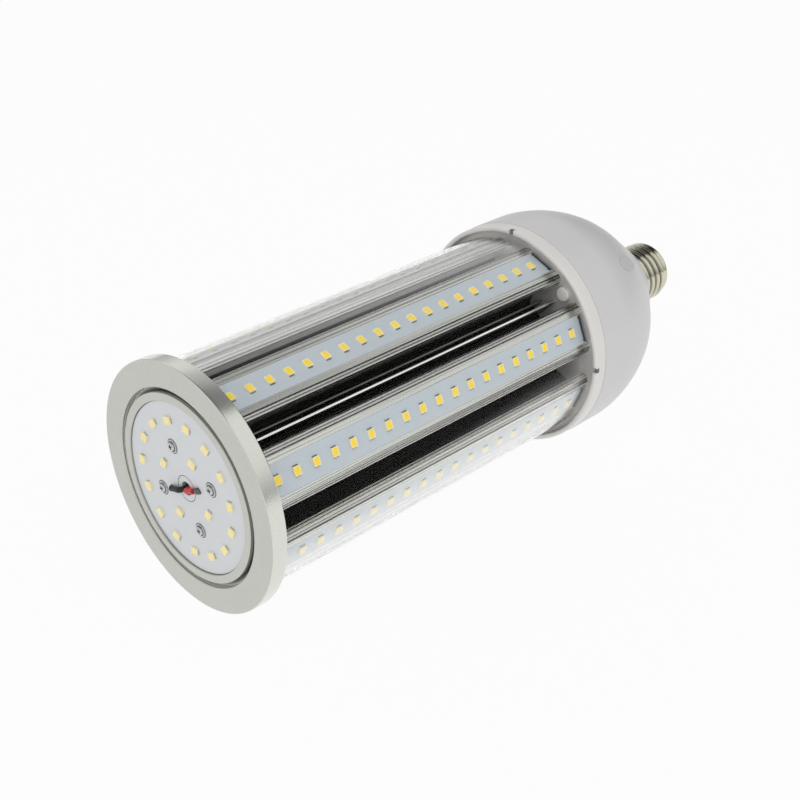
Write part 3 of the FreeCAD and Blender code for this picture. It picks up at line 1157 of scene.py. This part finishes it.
class CORN_OT_screw_cap(bpy.types.Operator):
    """Threaded shell, insulator and centre contact"""

    bl_idname = "corn.screw_cap"
    bl_label = "Screw cap"

    def execute(self, context):
        size = sizes()
        end = far_face("screw_shell")
        tip = far_face("cap_insulator")
        contact = far_face("cap_contact")
        pad = outer_radius("cap_contact")
        plug_nose = 0.0058
        plug_root = end - 0.002
        plug_radius = size.shell_end - 0.0006
        plate = nickel_plate()
        add_piece("cap_shell", self.threaded_shell(end), [plate], ["screw_shell"])
        plug = lathe([
            (plug_root, 0.0), (plug_root, plug_radius),
            (end, plug_radius), (tip, plug_nose), (tip, 0.0),
        ], 96, False)
        soften(plug, tip, plug_nose, 0.0005)
        black = grained("cap_glass", (0.02, 0.02, 0.022), 0.18, 1500.0, 0.3, 0.05, 0.06)
        add_piece("cap_plug", plug, [black], ["cap_insulator"])
        button = lathe([(tip, 0.0), (tip, pad), (contact, pad), (contact, 0.0)], 72, False)
        soften(button, contact, pad, 0.0013, 5)
        add_piece("cap_button", button, [plate], ["cap_contact"])
        return {"FINISHED"}

    def threaded_shell(self, end):
        """Shell whose wall is pressed into a rounded right-hand thread."""
        start = near_face("screw_shell")
        crest = outer_radius("screw_shell")
        rings = 130
        wall = [(start + (end - start) * index / rings, crest) for index in range(rings + 1)]
        bm = lathe(wall, 120, False)
        for vert in bm.verts:
            angle = math.atan2(vert.co.z, vert.co.y)
            radius = self.wall_radius(vert.co.x, angle, crest, end)
            vert.co.y = radius * math.cos(angle)
            vert.co.z = radius * math.sin(angle)
        face_out(bm)
        sheet = 0.0004
        bmesh.ops.solidify(bm, geom=bm.faces[:], thickness=sheet)
        face_out(bm)
        return bm

    def wall_radius(self, x, angle, crest, end):
        """Radius of the shell's wall: plain skirt, thread, and rolled-in end."""
        size = sizes()
        skirt = 0.0008
        run_in_length = 0.0015
        wave = 0.5 - 0.5 * math.cos(FULL_TURN * (x / size.thread_pitch - angle / FULL_TURN))
        run_in = min(1.0, max(0.0, (x - skirt) / run_in_length))
        radius = crest - size.thread_depth * run_in * wave
        curl = max(0.0, (x - (end - SHELL_CURL)) / SHELL_CURL)
        return radius - (radius - size.shell_end) * (1 - math.sqrt(max(0.0, 1 - curl * curl)))


DRIVER_FINISHES = (
    ("laminate", "driver_board", (0.05, 0.16, 0.07), 0.45, 1500.0, 0.15, 0.1, 0.1),
    ("terminal", "output_block supply_block", (0.10, 0.28, 0.14), 0.40, 2000.0, 0.08, 0.1, 0.05),
    ("tape_wrap", "transformer choke", (0.62, 0.42, 0.05), 0.35, 600.0, 0.12, 0.2, 0.1),
    ("moulded_black", "rectifier power_transistor", (0.02, 0.02, 0.02), 0.5, 2500.0, 0.2, 0.2, 0.1),
    ("film_box", "input_capacitor", (0.50, 0.34, 0.04), 0.40, 1800.0, 0.1, 0.1, 0.08),
    ("can_shrink", "output_capacitor", (0.02, 0.02, 0.03), 0.28, 1200.0, 0.2, 0.05, 0.08),
)


class CORN_OT_driver(bpy.types.Operator):
    """Finishes of the driver's parts inside the dome"""

    bl_idname = "corn.driver"
    bl_label = "Driver"

    def execute(self, context):
        for name, nodes, colour, *grain in DRIVER_FINISHES:
            for node in nodes.split():
                dress(node, grained(name, colour, *grain))
        dress("live_lead", red_sleeve())
        dress("neutral_lead", black_sleeve())
        return {"FINISHED"}


class CORN_OT_stage(bpy.types.Operator):
    """Pale floor, soft light and camera"""

    bl_idname = "corn.stage"
    bl_label = "Stage"

    def execute(self, context):
        scene = bpy.context.scene
        scene.view_settings.view_transform = "Standard"
        self.floor()
        self.sky(scene)
        self.lamp("top_light", (-0.25, -0.25, 1.10), 0.9, 2.9)
        self.lamp("left_light", (-1.15, -0.20, 0.35), 0.9, 1.0)
        self.camera(scene)
        return {"FINISHED"}

    def floor(self):
        """Wide pale floor that shows white to the eye and keeps a faint shadow."""
        half_width = 6.0
        gap = 0.0001
        bm = bmesh.new()
        bmesh.ops.create_grid(bm, x_segments=1, y_segments=1, size=half_width)
        shift(bm, (0, 0, PACKED_BOX[0][2] - gap))
        mesh = bpy.data.meshes.new("floor")
        bm.to_mesh(mesh)
        bm.free()
        look = Finish("pale_floor")
        look.feed("Base Color", grey(0.75))
        look.feed("Roughness", 0.9)
        glow = look.add("Emission", {"Color": grey(1.0), "Strength": 1.0})
        # Rays that show the floor itself: to the eye, in metal and through the tube
        path = look.add("LightPath").outputs
        shown = look.larger(path["Is Camera Ray"], path["Is Glossy Ray"])
        share = look.spread(look.larger(shown, path["Is Transmission Ray"]), 0.80, 0.95)
        look.cast(share, look.shader, glow, "Material Output")
        mesh.materials.append(look.material)
        floor = bpy.data.objects.new("floor", mesh)
        show(floor)

    def sky(self, scene):
        """Surround: pale at mid height, dimmer at the horizon and overhead, white to the eye."""
        scene.world = bpy.data.worlds.new("surround")
        scene.world.use_nodes = True
        nodes = Nodes(scene.world.node_tree)
        parts = nodes.axes(nodes.add("TexCoord").outputs["Generated"])
        ramp = nodes.add("ValToRGB", {0: parts["Z"]})
        horizon, overhead = ramp.color_ramp.elements
        horizon.color = grey(0.42)
        overhead.position = 0.96
        overhead.color = grey(0.06)
        for position, level in ((0.40, 0.95), (0.88, 1.0)):
            ramp.color_ramp.elements.new(position).color = grey(level)
        behind = nodes.ease(parts["Y"], -0.18, -0.08)
        high = nodes.spread(nodes.ease(parts["Z"], 0.55, 0.68), 0.0, 0.38)
        higher = nodes.spread(nodes.ease(parts["Z"], 0.77, 0.84), 0.0, 0.40)
        dimming = nodes.times(behind, nodes.calc("ADD", high, higher))
        level = nodes.times(ramp.outputs[0], nodes.minus(1.0, dimming))
        far_end = nodes.ease(parts["X"], 0.74, 0.88)
        around = nodes.add("Background", {
            "Color": nodes.blend(far_end, level, grey(0.05)), "Strength": 0.95,
        })
        direct = nodes.add("Background", {"Color": grey(1.0), "Strength": 1.0})
        eye = nodes.add("LightPath").outputs["Is Camera Ray"]
        nodes.cast(eye, around, direct, "World Output")

    def lamp(self, name, place, size, power):
        """Large soft lamp aimed at the middle of the object."""
        light = bpy.data.lights.new(name, "AREA")
        light.size = size
        light.energy = power
        holder = bpy.data.objects.new(name, light)
        holder.location = place
        holder.visible_glossy = False
        holder.visible_transmission = False
        holder.rotation_euler = (LAMP_MIDDLE - Vector(place)).to_track_quat("-Z", "Y").to_euler()
        show(holder)

    def camera(self, scene):
        """Camera at the photograph's place and angle."""
        camera = bpy.data.cameras.new("camera")
        camera.sensor_width = 36.0
        camera.lens = 58.33
        camera.clip_start = 0.01
        holder = bpy.data.objects.new("camera", camera)
        holder.location = CAMERA_PLACE
        holder.rotation_euler = CAMERA_TURN
        show(holder)
        scene.camera = holder


OPERATORS = (
    CORN_OT_light_chips, CORN_OT_boards, CORN_OT_heat_sink, CORN_OT_end_cap, CORN_OT_board_screws,
    CORN_OT_leads, CORN_OT_tube, CORN_OT_collar, CORN_OT_housing, CORN_OT_screw_cap,
    CORN_OT_driver, CORN_OT_stage,
)


class CORN_PT_panel(bpy.types.Panel):
    """Lists the lamp's operators, sizes and colours"""

    bl_idname = "CORN_PT_panel"
    bl_label = "Corn lamp"
    bl_space_type = "VIEW_3D"
    bl_region_type = "UI"
    bl_category = "Corn lamp"

    def draw(self, context):
        for operator in OPERATORS:
            self.layout.operator(operator.bl_idname)
        for group in (context.scene.corn_sizes, context.scene.corn_colours):
            for name in group.__annotations__:
                self.layout.prop(group, name)


CLASSES = (LampSizes, LampColours, *OPERATORS, CORN_PT_panel)


def register():
    """Registers the classes, and gives scenes the lamp's sizes and colours."""
    for item in CLASSES:
        bpy.utils.register_class(item)
    bpy.types.Scene.corn_sizes = bpy.props.PointerProperty(type=LampSizes)
    bpy.types.Scene.corn_colours = bpy.props.PointerProperty(type=LampColours)


def unregister():
    """Takes back what register added."""
    del bpy.types.Scene.corn_colours
    del bpy.types.Scene.corn_sizes
    for item in reversed(CLASSES):
        bpy.utils.unregister_class(item)


def main():
    """Builds the lamp and its stage."""
    register()
    for operator in OPERATORS:
        getattr(bpy.ops.corn, operator.bl_idname.split(".")[1])()


if __name__ == "__main__":
    main()
